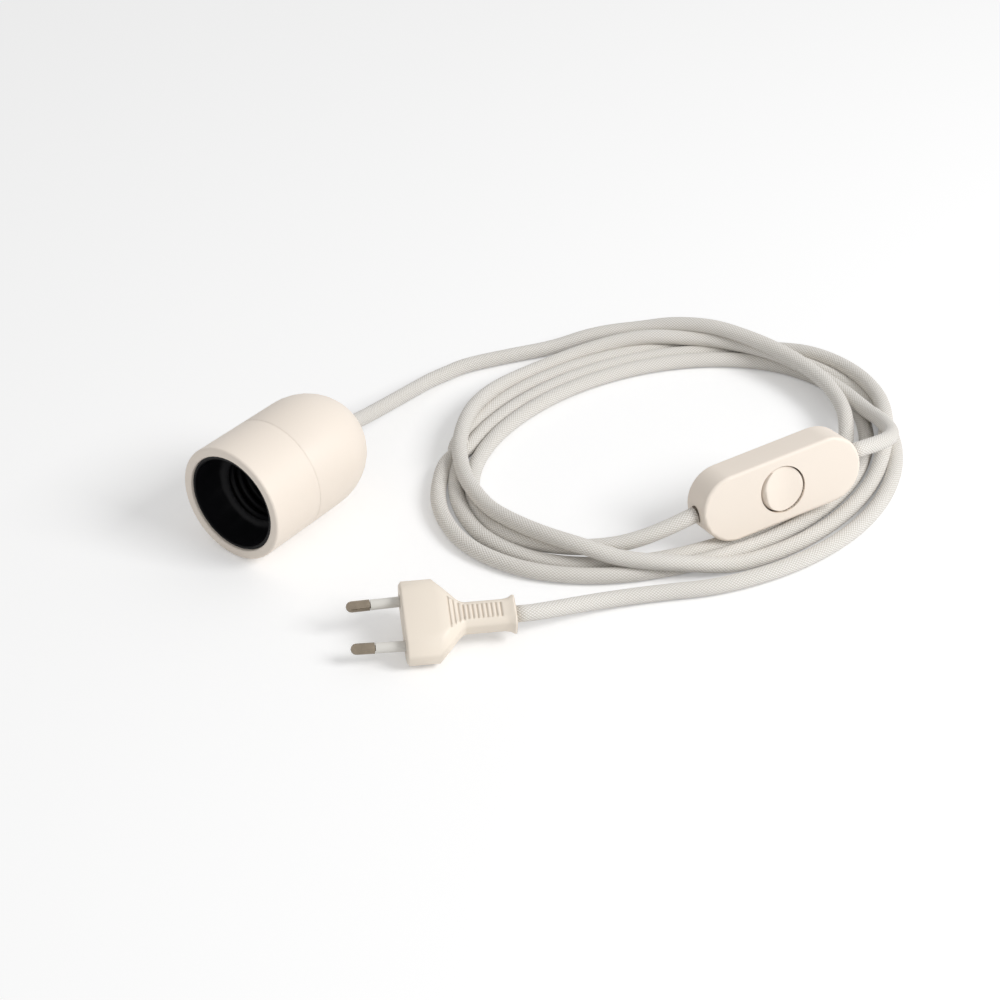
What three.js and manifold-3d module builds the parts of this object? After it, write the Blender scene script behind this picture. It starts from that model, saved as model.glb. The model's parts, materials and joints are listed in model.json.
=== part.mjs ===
// Table lamp cord set: a bullet-shaped E27 lamp holder lying on its side, a textile cord wound
// into a loose coil, an inline rocker switch that leans on the coil, and a moulded two-pin plug.
// Millimetres, +Z up. The surface is at z = 0, the holder's mouth faces -Y, and the origin is
// under the middle of the holder.
import * as THREE from 'three';
import { mergeVertices } from 'three/addons/utils/BufferGeometryUtils.js';
import Module from 'manifold-3d';

const wasm = await Module();
wasm.setup();

// Driving dimensions, shared
const GAP = 0.3;                    // between pieces that touch
const CORD_DIAMETER = 6;
const FINE_SIDES = 48;              // facets round the large turned pieces
const SMALL_SIDES = 24;             // facets round the small turned pieces

// Lamp holder, measured along its own axis from the mouth
const RIM_RADIUS = 22.7;
const RIM_ROUNDING = 1;
const BODY_TAPER = 0.3;             // how much slimmer the body is at its shoulder
const SHOULDER_AT = 41.7;
const HOLDER_LENGTH = 64.7;
const DOME_END_RADIUS = 6.6;
const DOME_STEPS = 9;               // facets along the dome's outside
const DOME_INNER_STEPS = 4;
const SHELL_WALL = 2.2;
const SKIRT_WALL = 3.6;
const SEAM_AT = 24;
const LIP_LENGTH = 4;
const LIP_WALL = 1.7;

// Lamp socket inside the holder
const LINER_RECESS = 1;
const LINER_LENGTH = 31;
const ENTRY_WALL = 1;
const ENTRY_DEPTH = 12;             // the smooth entry in front of the thread
const THREAD_MAJOR_RADIUS = 13.5;
const THREAD_MINOR_RADIUS = 12.3;
const THREAD_PITCH = 3.629;
const THREAD_TURNS = 5;
const THREAD_SIDES = 32;
const THREAD_ROWS = 5;              // facets along one turn of the thread
const BLOCK_INSET = 1.3;            // how far the contact block stays inside the liner's outline
const BLOCK_THICKNESS = 7.5;
const BOSS_RADIUS = 9;
const BOSS_HEIGHT = 3;
const LEAF_THICKNESS = 0.6;
const LEAF_WIDTH = 5;
const LEAF_RISE = 4.2;
const LEAF_MARGIN = 1.8;
const LEAF_FOOT = 4;
const LEAF_BEND = 0.85;
const TONGUE_HEIGHT = 9;
const TONGUE_OFFSET = 10.2;
const TERMINAL_OFFSET = 8.5;
const TERMINAL_SHANK_RADIUS = 1.5;
const TERMINAL_SHANK_LENGTH = 5;
const TERMINAL_HEAD_RADIUS = 2.8;
const TERMINAL_HEAD_HEIGHT = 1.8;
const SCREW_SLOT_WIDTH = 0.8;
const SCREW_SLOT_DEPTH = 0.8;
const SCREW_CHAMFER = 0.4;
const BUSH_RADIUS = 5;
const BUSH_FLANGE_RADIUS = 5.9;
const BUSH_FLANGE_HEIGHT = 1.6;
const BUSH_SHANK_LENGTH = 7.5;
const NUT_RADIUS = 7.6;
const NUT_HEIGHT = 3;

// Inline switch: X along it, Y across it, Z out of its face, origin at its middle
const SWITCH_LENGTH = 66;
const SWITCH_WIDTH = 26.2;
const SWITCH_THICKNESS = 14;
const SWITCH_ROUNDING = 1.1;
const SWITCH_WALL = 2;
const SWITCH_CENTRE = [149, 99.5, 20.3];
const SWITCH_YAW = 61.9;            // degrees, long axis from +X
const SWITCH_LEAN = 12;             // degrees, the face looks up by this much
const SWITCH_RISE = 7.5;            // degrees, the far end lies higher on the coil
const COVER_THICKNESS = 2;
const ROCKER_RADIUS = 8.9;
const ROCKER_PROUD = 0.5;
const ROCKER_DEPTH = 5;
const ROCKER_STEPS = 6;             // facets down the rocker's side
const ROCKER_DISH_RADIUS = 30;
const ROCKER_DISH_DEPTH = 1.1;
const ROCKER_TRAVEL = 14;           // degrees from one state to the other
const PIVOT_BELOW_FACE = 3;
const PIVOT_PIN_RADIUS = 1;
const BOSS_BLOCK_LENGTH = 5;
const BRIDGE_LENGTH = 13;
const BRIDGE_WIDTH = 3.4;
const BRIDGE_FLAT_LENGTH = 6.5;
const BRIDGE_DROP = 1.4;
const CONTACT_THICKNESS = 0.8;
const CONTACT_STEP = 1.2;
const CONTACT_STEP_LENGTH = 2.4;
const FIXED_CONTACT_LENGTH = 12;
const FIXED_CONTACT_AT = 12.5;
const CLAMP_AT = 25.5;
const CLAMP_LENGTH = 4;
const CLAMP_THICKNESS = 1.6;
const COVER_SCREW_AT = 19;
const COVER_SCREW_HEAD_RADIUS = 2.4;
const COVER_SCREW_SHANK_RADIUS = 1.1;
const COVER_SCREW_LENGTH = 8.5;
const COVER_SCREW_HEAD_HEIGHT = 1.1;

// Plug: X from its front face to its collar, Y across the two pins, Z out of its broad face
const PLUG_HALF_WIDTH = 16.3;
const PLUG_HALF_THICKNESS = 6.7;
const PLUG_HALF_FLAT = 11.5;
const PLUG_HALF_EDGE = 2.6;
const PLUG_EDGE = 0.8;              // the soft edge round its front face
const CORNER_SOFTNESS = 0.14;       // share of a side that each corner's facet takes
const PLUG_PRISM_LENGTH = 11.5;
const PLUG_LENGTH = 39.5;
const PLUG_FRONT = [83.4, -38];
const PLUG_YAW = 44.8;              // degrees, front to collar from +X
const PLUG_ROLL = 18.7;             // degrees, it lies on one long edge, held up by its cord
const NECK_HALF_WIDTH = 5.3;
const NECK_HALF_THICKNESS = 4.1;
const NECK_HALF_FLAT = 3.5;
const NECK_HALF_EDGE = 2.4;
const SHOULDER_LENGTH = 10.5;
const SHOULDER_STEPS = [[0.4, 0.44], [0.75, 0.86], [0.88, 0.96]];   // share along, share narrowed
const COLLAR_LENGTH = 4.2;
const COLLAR_RIM = 0.8;
const COLLAR_FLARE = 1.21;
const COLLAR_HOLLOW = 0.3;          // share of the flare that is reached half-way along it
const GROOVE_COUNT = 12;
const GROOVE_FROM = 16.2;
const GROOVE_PITCH = 1.65;
const GROOVE_WIDTH = 0.7;
const GROOVE_DEPTH = 0.5;
const GROOVE_SPAN = 0.86;           // share of the flat face that a groove crosses
const PIN_RADIUS = 2;
const PIN_LENGTH = 19;
const PIN_SPACING_BASE = 18.6;
const PIN_SPACING_TIP = 17.5;
const PIN_ROOT_LENGTH = 8;
const PIN_TIP_LENGTH = 2;
const PIN_TIP_STEPS = 3;
const SLEEVE_RADIUS = 1.9;
const SLEEVE_LENGTH = 10.3;
const SLEEVE_WALL = 0.6;

// Cord: points chosen by hand along the stretches that are not coiled
const COIL_CENTRE = [93, 113.9];
const COIL_OUTER_RADIUS = 99;
const COIL_INNER_RADIUS = 67;
const COIL_HEIGHT = 13;
const COIL_ROUNDING = 3;
const SWITCH_POCKET = 0.5;          // room that the coil leaves round the switch
const CORD_SIDES = 10;
const CORD_STEP = 14;               // from one ring of facets to the next
const HOLDER_TAIL = [
  [-4.2, 44.5, 17], [-6.3, 55.1, 14], [-8.7, 66.2, 11], [-11.5, 82.2, 7],
  [-13, 99.9, 4.1], [-11.5, 110, 3.4], [-9.5, 119, 3.3],
];
const PLUG_TAIL = [[117.5, -3.7, 9.2], [120.6, 6.4, 6.4], [122.4, 15.6, 4.2]];
const SWITCH_LEFT_TAIL = [[131.5, 66.2, 15.2], [129.6, 62.8, 14.2]];
const SWITCH_RIGHT_TAIL = [
  [167.1, 135.2, 25], [169.5, 143.3, 23], [170.3, 152.3, 20.2], [168.7, 160.3, 17],
];

const cream = new THREE.MeshStandardMaterial({ color: 0xf1e4d3, roughness: 0.62, metalness: 0 });
const black = new THREE.MeshStandardMaterial({ color: 0x141312, roughness: 0.35, metalness: 0 });
const brass = new THREE.MeshStandardMaterial({ color: 0xb8935a, roughness: 0.35, metalness: 1 });
const nickel = new THREE.MeshStandardMaterial({ color: 0xb9b4ab, roughness: 0.28, metalness: 1 });
const sleeveWhite = new THREE.MeshStandardMaterial({ color: 0xe6e1d6, roughness: 0.4, metalness: 0 });
const textile = new THREE.MeshStandardMaterial({ color: 0xddd9cd, roughness: 0.85, metalness: 0 });

// Geometry with shared corners, no collapsed triangles, and faces that point out
function weld(geometry) {
  const plain = new THREE.BufferGeometry();
  plain.setAttribute('position', geometry.getAttribute('position').clone());
  if (geometry.index) plain.setIndex(geometry.index.clone());
  const merged = mergeVertices(plain, 1e-4);
  const position = merged.getAttribute('position');
  const [a, b, c] = [new THREE.Vector3(), new THREE.Vector3(), new THREE.Vector3()];
  const kept = [];
  let volume = 0;
  for (let i = 0; i < merged.index.count; i += 3) {
    const corner = [0, 1, 2].map((k) => merged.index.getX(i + k));
    if (new Set(corner).size < 3) continue;
    a.fromBufferAttribute(position, corner[0]);
    b.fromBufferAttribute(position, corner[1]);
    c.fromBufferAttribute(position, corner[2]);
    volume += a.dot(b.cross(c));
    kept.push(corner);
  }
  const outward = volume < 0 ? kept.map(([p, q, r]) => [p, r, q]) : kept;
  merged.setIndex(outward.flat());
  return merged;
}

function solidOf(geometry) {
  const welded = weld(geometry);
  return new wasm.Manifold(new wasm.Mesh({
    numProp: 3,
    vertProperties: new Float32Array(welded.getAttribute('position').array),
    triVerts: new Uint32Array(welded.index.array),
  }));
}

function geometryOf(solid) {
  const mesh = solid.getMesh();
  const geometry = new THREE.BufferGeometry();
  geometry.setAttribute('position', new THREE.BufferAttribute(new Float32Array(mesh.vertProperties), 3));
  geometry.setIndex(new THREE.BufferAttribute(new Uint32Array(mesh.triVerts), 1));
  return geometry;
}

const cut = (base, ...tools) => geometryOf(
  tools.reduce((solid, tool) => solid.subtract(solidOf(tool)), solidOf(base)));

const join = (base, ...others) => geometryOf(
  others.reduce((solid, other) => solid.add(solidOf(other)), solidOf(base)));

function piece(name, geometry, material) {
  const shaded = weld(geometry).toNonIndexed();
  shaded.computeVertexNormals();
  const mesh = new THREE.Mesh(shaded, material);
  mesh.name = name;
  return mesh;
}

// A turned solid about Z from its closed outline of [radius, height] points
function turned(outline, sides = SMALL_SIDES) {
  const points = [...outline, outline[0]].map(([r, z]) => new THREE.Vector2(r, z));
  return new THREE.LatheGeometry(points, sides).rotateX(Math.PI / 2);
}

const rod = (radius, from, to, sides = SMALL_SIDES) => turned(
  [[0, from], [radius, from], [radius, to], [0, to]], sides);

const tube = (inner, outer, from, to, sides = SMALL_SIDES) => turned(
  [[inner, from], [outer, from], [outer, to], [inner, to]], sides);

const block = (x0, x1, y0, y1, z0, z1) => new THREE.BoxGeometry(x1 - x0, y1 - y0, z1 - z0)
  .translate((x0 + x1) / 2, (y0 + y1) / 2, (z0 + z1) / 2);

const degrees = THREE.MathUtils.degToRad;

// A bent strip of sheet metal: its centre line in X and Z, its thickness, its width along Y
function strip(line, thickness, width) {
  const half = thickness / 2;
  const side = (sign) => line.map(([x, z], i) => {
    const [x0, z0] = line[Math.max(i - 1, 0)];
    const [x1, z1] = line[Math.min(i + 1, line.length - 1)];
    const length = Math.hypot(x1 - x0, z1 - z0);
    return new THREE.Vector2(x - sign * half * (z1 - z0) / length, z + sign * half * (x1 - x0) / length);
  });
  const shape = new THREE.Shape([...side(1), ...side(-1).reverse()]);
  return new THREE.ExtrudeGeometry(shape, { depth: width, bevelEnabled: false })
    .rotateX(Math.PI / 2).translate(0, width / 2, 0);
}

// A slotted screw with its head at z = 0, looking along +Z, and its shank below
function screw(headRadius, headHeight, shankRadius, shankLength) {
  const body = turned([
    [0, -shankLength], [shankRadius, -shankLength], [shankRadius, -headHeight],
    [headRadius, -headHeight], [headRadius, -SCREW_CHAMFER], [headRadius - SCREW_CHAMFER, 0], [0, 0],
  ]);
  const slot = block(-headRadius * 2, headRadius * 2, -SCREW_SLOT_WIDTH / 2, SCREW_SLOT_WIDTH / 2,
    -Math.min(SCREW_SLOT_DEPTH, headHeight / 2), headHeight);
  return cut(body, slot);
}

// Lamp holder

const mouthRadius = RIM_RADIUS - SKIRT_WALL;
const shoulderRadius = RIM_RADIUS - BODY_TAPER;
const taper = Math.atan2(BODY_TAPER, SHOULDER_AT);
const coneRadius = (z) => RIM_RADIUS - z * Math.tan(taper);
const domeAngle = Math.acos(DOME_END_RADIUS / shoulderRadius);
const domeDepth = (HOLDER_LENGTH - SHOULDER_AT) / Math.sin(domeAngle);

// Points of the dome at a depth under its outer face, from the shoulder to its end
function domeCurve(inset, steps) {
  return Array.from({ length: steps + 1 }, (_, i) => {
    const angle = domeAngle * i / steps;
    return [
      (shoulderRadius - inset) * Math.cos(angle),
      SHOULDER_AT + (domeDepth - inset) * Math.sin(angle),
    ];
  });
}

function holderSkirt() {
  const end = SEAM_AT - GAP / 2;
  const lip = Array.from({ length: 4 }, (_, i) => {
    const angle = Math.PI / 6 * i;
    return [
      RIM_RADIUS - RIM_ROUNDING * (1 - Math.sin(angle)),
      RIM_ROUNDING * (1 - Math.cos(angle)),
    ];
  });
  return turned([
    [mouthRadius, RIM_ROUNDING / 2], [mouthRadius + RIM_ROUNDING / 2, 0], ...lip,
    [coneRadius(end), end], [mouthRadius, end],
  ], FINE_SIDES);
}

function holderCap() {
  const start = SEAM_AT + GAP / 2;
  const lipOuter = mouthRadius - GAP;
  const lipInner = lipOuter - LIP_WALL;
  const bore = BUSH_RADIUS + GAP;
  const outside = domeCurve(0, DOME_STEPS);
  const inside = domeCurve(SHELL_WALL, DOME_INNER_STEPS).filter(([r]) => r > bore);
  return turned([
    [lipOuter, SEAM_AT - LIP_LENGTH], [lipOuter, start], [coneRadius(start), start],
    ...outside, [bore, HOLDER_LENGTH], [bore, HOLDER_LENGTH - SHELL_WALL],
    ...inside.reverse(),
    [coneRadius(SEAM_AT + LIP_LENGTH) - SHELL_WALL, SEAM_AT + LIP_LENGTH],
    [lipInner, SEAM_AT + LIP_WALL], [lipInner, SEAM_AT - LIP_LENGTH],
  ], FINE_SIDES);
}

const linerRear = LINER_RECESS + LINER_LENGTH;
const linerStep = LINER_RECESS + ENTRY_DEPTH;
const linerRadius = mouthRadius - GAP;
const linerWaistRadius = linerRadius - LIP_WALL - GAP;

// A rod with the lamp thread on it, used to cut the socket's thread
function threadCutter() {
  const sides = THREAD_SIDES;
  const rows = THREAD_TURNS * THREAD_ROWS;
  const length = THREAD_TURNS * THREAD_PITCH;
  const middle = (THREAD_MAJOR_RADIUS + THREAD_MINOR_RADIUS) / 2;
  const depth = (THREAD_MAJOR_RADIUS - THREAD_MINOR_RADIUS) / 2;
  const positions = [];
  const index = [];
  for (let row = 0; row <= rows; row++) {
    for (let side = 0; side < sides; side++) {
      const angle = 2 * Math.PI * side / sides;
      const z = length * row / rows;
      const radius = middle + depth * Math.cos(2 * Math.PI * z / THREAD_PITCH - angle);
      positions.push(radius * Math.cos(angle), radius * Math.sin(angle), z);
    }
  }
  const bottom = positions.length / 3;
  positions.push(0, 0, 0, 0, 0, length);
  for (let side = 0; side < sides; side++) {
    const next = (side + 1) % sides;
    for (let row = 0; row < rows; row++) {
      const [a, b] = [row * sides + side, row * sides + next];
      index.push(a, b, b + sides, a, b + sides, a + sides);
    }
    index.push(bottom, next, side, bottom + 1, rows * sides + side, rows * sides + next);
  }
  const geometry = new THREE.BufferGeometry();
  geometry.setAttribute('position', new THREE.Float32BufferAttribute(positions, 3));
  geometry.setIndex(index);
  return geometry.translate(0, 0, linerStep - GAP);
}

function socketLiner() {
  const waist = SEAM_AT - LIP_LENGTH - GAP;
  const entry = linerRadius - ENTRY_WALL;
  const bore = THREAD_MINOR_RADIUS - GAP;
  const body = turned([
    [entry, LINER_RECESS], [linerRadius, LINER_RECESS], [linerRadius, waist], [linerWaistRadius, waist],
    [linerWaistRadius, linerRear], [bore, linerRear], [bore, linerStep], [entry, linerStep],
  ], FINE_SIDES);
  return cut(body, threadCutter());
}

const blockFront = linerRear + GAP;
const blockRear = blockFront + BLOCK_THICKNESS;
const bossFront = blockFront - BOSS_HEIGHT;

function contactBlock() {
  const radius = linerWaistRadius - BLOCK_INSET;
  const body = turned([
    [0, bossFront], [BOSS_RADIUS, bossFront], [BOSS_RADIUS, blockFront],
    [radius, blockFront], [radius, blockRear], [0, blockRear],
  ], FINE_SIDES);
  const holes = [-1, 1].map((side) => rod(TERMINAL_SHANK_RADIUS + GAP,
    blockRear - TERMINAL_SHANK_LENGTH, blockRear + GAP).translate(side * TERMINAL_OFFSET, 0, 0));
  const tongueSlot = block(BOSS_RADIUS - GAP, TONGUE_OFFSET + LEAF_THICKNESS, -LEAF_WIDTH, LEAF_WIDTH,
    bossFront - GAP, blockFront - GAP);
  return cut(body, ...holes, tongueSlot);
}

function centreContact() {
  const foot = bossFront - GAP - LEAF_THICKNESS / 2;
  const crest = foot - LEAF_RISE;
  const half = BOSS_RADIUS - LEAF_MARGIN;
  return strip([
    [-half, foot], [LEAF_FOOT - half, foot], [-LEAF_THICKNESS, crest + LEAF_BEND],
    [LEAF_BEND * 2, crest], [half - LEAF_BEND * 2, crest + LEAF_BEND],
  ], LEAF_THICKNESS, LEAF_WIDTH);
}

function shellContact() {
  const foot = blockFront - GAP - LEAF_THICKNESS / 2;
  const lean = LEAF_THICKNESS;
  return strip([
    [BOSS_RADIUS + GAP + LEAF_THICKNESS, foot], [TONGUE_OFFSET, foot - TONGUE_HEIGHT / 2],
    [TONGUE_OFFSET, foot - TONGUE_HEIGHT + LEAF_BEND * 2], [TONGUE_OFFSET - lean, foot - TONGUE_HEIGHT],
  ], LEAF_THICKNESS, LEAF_WIDTH);
}

function cordBush() {
  const bore = CORD_DIAMETER / 2 + GAP;
  const seat = HOLDER_LENGTH + GAP;
  return turned([
    [bore, seat - BUSH_SHANK_LENGTH], [BUSH_RADIUS, seat - BUSH_SHANK_LENGTH], [BUSH_RADIUS, seat],
    [BUSH_FLANGE_RADIUS, seat], [BUSH_FLANGE_RADIUS, seat + BUSH_FLANGE_HEIGHT / 2],
    [BUSH_RADIUS, seat + BUSH_FLANGE_HEIGHT], [bore, seat + BUSH_FLANGE_HEIGHT],
  ]);
}

function bushNut() {
  const seat = HOLDER_LENGTH - SHELL_WALL - GAP - NUT_HEIGHT / 2;
  return cut(rod(NUT_RADIUS, seat - NUT_HEIGHT, seat, 6), rod(BUSH_RADIUS + GAP, 0, HOLDER_LENGTH));
}

function buildHolder() {
  const holder = new THREE.Group();
  const terminal = () => screw(TERMINAL_HEAD_RADIUS, TERMINAL_HEAD_HEIGHT, TERMINAL_SHANK_RADIUS,
    TERMINAL_HEAD_HEIGHT + TERMINAL_SHANK_LENGTH - GAP * 2);
  holder.add(
    piece('holder_skirt', holderSkirt(), cream),
    piece('holder_cap', holderCap(), cream),
    piece('socket_liner', socketLiner(), black),
    piece('contact_block', contactBlock(), black),
    piece('centre_contact', centreContact(), brass),
    piece('shell_contact', shellContact(), brass),
    piece('cord_bush', cordBush(), cream),
    piece('bush_nut', bushNut(), nickel),
  );
  for (const [name, side] of [['terminal_screw_live', -1], ['terminal_screw_neutral', 1]]) {
    const mesh = piece(name, terminal(), nickel);
    mesh.position.set(side * TERMINAL_OFFSET, 0, blockRear + GAP + TERMINAL_HEAD_HEIGHT);
    holder.add(mesh);
  }
  // It lies on its slight taper, so its axis dips towards the dome
  holder.rotation.x = -Math.PI / 2 - taper;
  holder.updateMatrixWorld(true);
  const shell = new THREE.Box3().setFromObject(holder, true);
  holder.position.set(0, -(shell.min.y + shell.max.y) / 2, -shell.min.z);
  holder.updateMatrixWorld(true);
  return holder;
}

// Inline switch

const switchHalf = SWITCH_THICKNESS / 2;
const pivotZ = switchHalf - PIVOT_BELOW_FACE;
const wallInside = switchHalf - SWITCH_WALL;

// A stadium of a given length and width, extruded between two heights, with rounded edges if asked
function stadium(length, width, from, to, rounding = 0) {
  const radius = width / 2 - rounding;
  const straight = (length - width) / 2;
  const shape = new THREE.Shape();
  shape.absarc(straight, 0, radius, -Math.PI / 2, Math.PI / 2);
  shape.absarc(-straight, 0, radius, Math.PI / 2, Math.PI * 1.5);
  return new THREE.ExtrudeGeometry(shape, {
    depth: to - from - 2 * rounding,
    curveSegments: 10,
    bevelEnabled: rounding > 0,
    bevelThickness: rounding,
    bevelSize: rounding,
    bevelSegments: 2,
  }).translate(0, 0, from + rounding);
}

const alongX = (geometry) => geometry.rotateY(Math.PI / 2);
const alongY = (geometry) => geometry.rotateX(-Math.PI / 2);

const coverLength = SWITCH_LENGTH - 2 * SWITCH_WALL;
const coverWidth = SWITCH_WIDTH - 2 * SWITCH_WALL;
const pinHalf = coverWidth / 2 - GAP;
const rockerHole = ROCKER_RADIUS + GAP;
const coverInside = -switchHalf + COVER_THICKNESS;
const coverScrewY = coverWidth / 2 - COVER_SCREW_HEAD_RADIUS - GAP;

function switchBody() {
  const shell = cut(
    stadium(SWITCH_LENGTH, SWITCH_WIDTH, -switchHalf, switchHalf, SWITCH_ROUNDING),
    stadium(coverLength, coverWidth, -switchHalf - GAP, wallInside),
    rod(rockerHole, 0, SWITCH_THICKNESS, FINE_SIDES),
    alongX(rod(CORD_DIAMETER / 2 + GAP, -SWITCH_LENGTH, SWITCH_LENGTH)),
  );
  const bosses = [-1, 1].map((side) => {
    const [near, far] = [rockerHole + GAP, coverWidth / 2 + SWITCH_WALL / 2];
    return block(-BOSS_BLOCK_LENGTH / 2, BOSS_BLOCK_LENGTH / 2, side > 0 ? near : -far,
      side > 0 ? far : -near, pivotZ - BOSS_BLOCK_LENGTH / 2, wallInside + SWITCH_WALL / 2);
  });
  const posts = [-1, 1].map((side) => rod(COVER_SCREW_HEAD_RADIUS, coverInside + GAP, wallInside
    + SWITCH_WALL / 2).translate(side * COVER_SCREW_AT, coverScrewY * side, 0));
  const pinHole = alongY(rod(PIVOT_PIN_RADIUS + GAP, -pinHalf - GAP, pinHalf + GAP))
    .translate(0, 0, pivotZ);
  const screwHoles = [-1, 1].map((side) => rod(COVER_SCREW_SHANK_RADIUS + GAP, coverInside, coverInside
    + COVER_SCREW_LENGTH).translate(side * COVER_SCREW_AT, coverScrewY * side, 0));
  return cut(join(shell, ...bosses, ...posts), pinHole, ...screwHoles);
}

function switchCover() {
  const plate = stadium(coverLength - 2 * GAP, coverWidth - 2 * GAP, -switchHalf, coverInside);
  const holes = [-1, 1].flatMap((side) => [
    rod(COVER_SCREW_SHANK_RADIUS + GAP, -SWITCH_THICKNESS, 0),
    rod(COVER_SCREW_HEAD_RADIUS + GAP, -SWITCH_THICKNESS, -switchHalf + COVER_SCREW_HEAD_HEIGHT + GAP),
  ].map((hole) => hole.translate(side * COVER_SCREW_AT, coverScrewY * side, 0)));
  return cut(plate, ...holes);
}

// The rocker's side is part of a sphere about its pin, so it clears its hole as it rocks
function switchRocker() {
  const [low, high] = [-ROCKER_DEPTH + PIVOT_BELOW_FACE, PIVOT_BELOW_FACE + ROCKER_PROUD];
  const side = Array.from({ length: ROCKER_STEPS + 1 }, (_, i) => {
    const z = low + (high - low) * i / ROCKER_STEPS;
    return [Math.sqrt(ROCKER_RADIUS ** 2 - z ** 2), z];
  });
  const body = turned([[0, low], ...side, [0, high]], FINE_SIDES);
  const dish = alongY(rod(ROCKER_DISH_RADIUS, -SWITCH_WIDTH, SWITCH_WIDTH, FINE_SIDES * 2))
    .translate(0, 0, high - ROCKER_DISH_DEPTH + ROCKER_DISH_RADIUS);
  const pinHole = alongY(rod(PIVOT_PIN_RADIUS + GAP, -SWITCH_WIDTH, SWITCH_WIDTH));
  return cut(body, dish, pinHole);
}

// The moving contact hangs under the rocker and meets one fixed contact or the other
function contactBridge() {
  const top = -ROCKER_DEPTH + PIVOT_BELOW_FACE - GAP;
  const [half, flat] = [BRIDGE_LENGTH / 2, BRIDGE_FLAT_LENGTH / 2];
  const level = top - CONTACT_THICKNESS / 2;
  return strip([[-half, top - BRIDGE_DROP], [-flat, level], [flat, level], [half, top - BRIDGE_DROP]],
    CONTACT_THICKNESS, BRIDGE_WIDTH);
}

function fixedContact() {
  const floor = coverInside + GAP + CONTACT_THICKNESS / 2;
  const half = FIXED_CONTACT_LENGTH / 2;
  const raised = floor + CONTACT_STEP;
  return strip([[-half, floor], [0, floor], [CONTACT_STEP_LENGTH, raised], [half, raised]],
    CONTACT_THICKNESS, BRIDGE_WIDTH);
}

function buildSwitch() {
  const group = new THREE.Group();
  group.position.fromArray(SWITCH_CENTRE);
  group.rotation.set(degrees(90 - SWITCH_LEAN), -degrees(SWITCH_RISE), degrees(SWITCH_YAW), 'ZYX');
  group.add(
    piece('switch_body', switchBody(), cream),
    piece('switch_cover', switchCover(), cream),
    piece('rocker_pin', alongY(rod(PIVOT_PIN_RADIUS, -pinHalf, pinHalf)).translate(0, 0, pivotZ), nickel),
  );
  const rocking = new THREE.Group();
  rocking.position.z = pivotZ;
  rocking.rotation.y = degrees(ROCKER_TRAVEL / 2);
  rocking.add(
    piece('switch_rocker', switchRocker(), cream),
    piece('contact_bridge', contactBridge(), brass),
  );
  group.add(rocking);
  for (const [side, word] of [[-1, 'left'], [1, 'right']]) {
    const contact = piece(`fixed_contact_${word}`, fixedContact(), brass);
    contact.position.x = side * FIXED_CONTACT_AT;
    contact.rotation.z = side > 0 ? Math.PI : 0;
    const clamp = piece(`cord_clamp_${word}`, block(-CLAMP_LENGTH / 2, CLAMP_LENGTH / 2,
      -coverWidth / 4, coverWidth / 4, 0, CLAMP_THICKNESS), cream);
    clamp.position.set(side * CLAMP_AT, 0, coverInside + GAP);
    const fastener = piece(`cover_screw_${word}`, screw(COVER_SCREW_HEAD_RADIUS,
      COVER_SCREW_HEAD_HEIGHT, COVER_SCREW_SHANK_RADIUS, COVER_SCREW_LENGTH), nickel);
    fastener.position.set(side * COVER_SCREW_AT, coverScrewY * side, -switchHalf);
    fastener.rotation.x = Math.PI;
    group.add(contact, clamp, fastener);
  }
  return group;
}

// Plug

// One cross-section of the plug: a flat hexagon with soft corners, at a distance from the front
function plugSection(x, halfWidth, halfThickness, halfFlat, halfEdge) {
  const corners = [
    [halfFlat, halfThickness], [halfWidth, halfEdge],
    [halfWidth, -halfEdge], [halfFlat, -halfThickness],
    [-halfFlat, -halfThickness], [-halfWidth, -halfEdge],
    [-halfWidth, halfEdge], [-halfFlat, halfThickness],
  ];
  return corners.flatMap(([y, z], i) => {
    const [y0, z0] = corners[(i + 7) % 8];
    const [y1, z1] = corners[(i + 1) % 8];
    return [
      [x, y + (y0 - y) * CORNER_SOFTNESS, z + (z0 - z) * CORNER_SOFTNESS],
      [x, y + (y1 - y) * CORNER_SOFTNESS, z + (z1 - z) * CORNER_SOFTNESS],
    ];
  });
}

// A closed skin over sections that all have the same number of points
function loft(sections) {
  const count = sections[0].length;
  const last = (sections.length - 1) * count;
  const index = [];
  for (let s = 0; s < sections.length - 1; s++) {
    for (let i = 0; i < count; i++) {
      const [a, b] = [s * count + i, s * count + (i + 1) % count];
      index.push(a, b, b + count, a, b + count, a + count);
    }
  }
  for (let i = 1; i < count - 1; i++) index.push(0, i + 1, i, last, last + i, last + i + 1);
  const geometry = new THREE.BufferGeometry();
  geometry.setAttribute('position', new THREE.Float32BufferAttribute(sections.flat(2), 3));
  geometry.setIndex(index);
  return geometry;
}

const neckEnd = PLUG_LENGTH - COLLAR_LENGTH;
const pinToe = Math.atan2((PIN_SPACING_BASE - PIN_SPACING_TIP) / 2, PIN_LENGTH);

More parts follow.
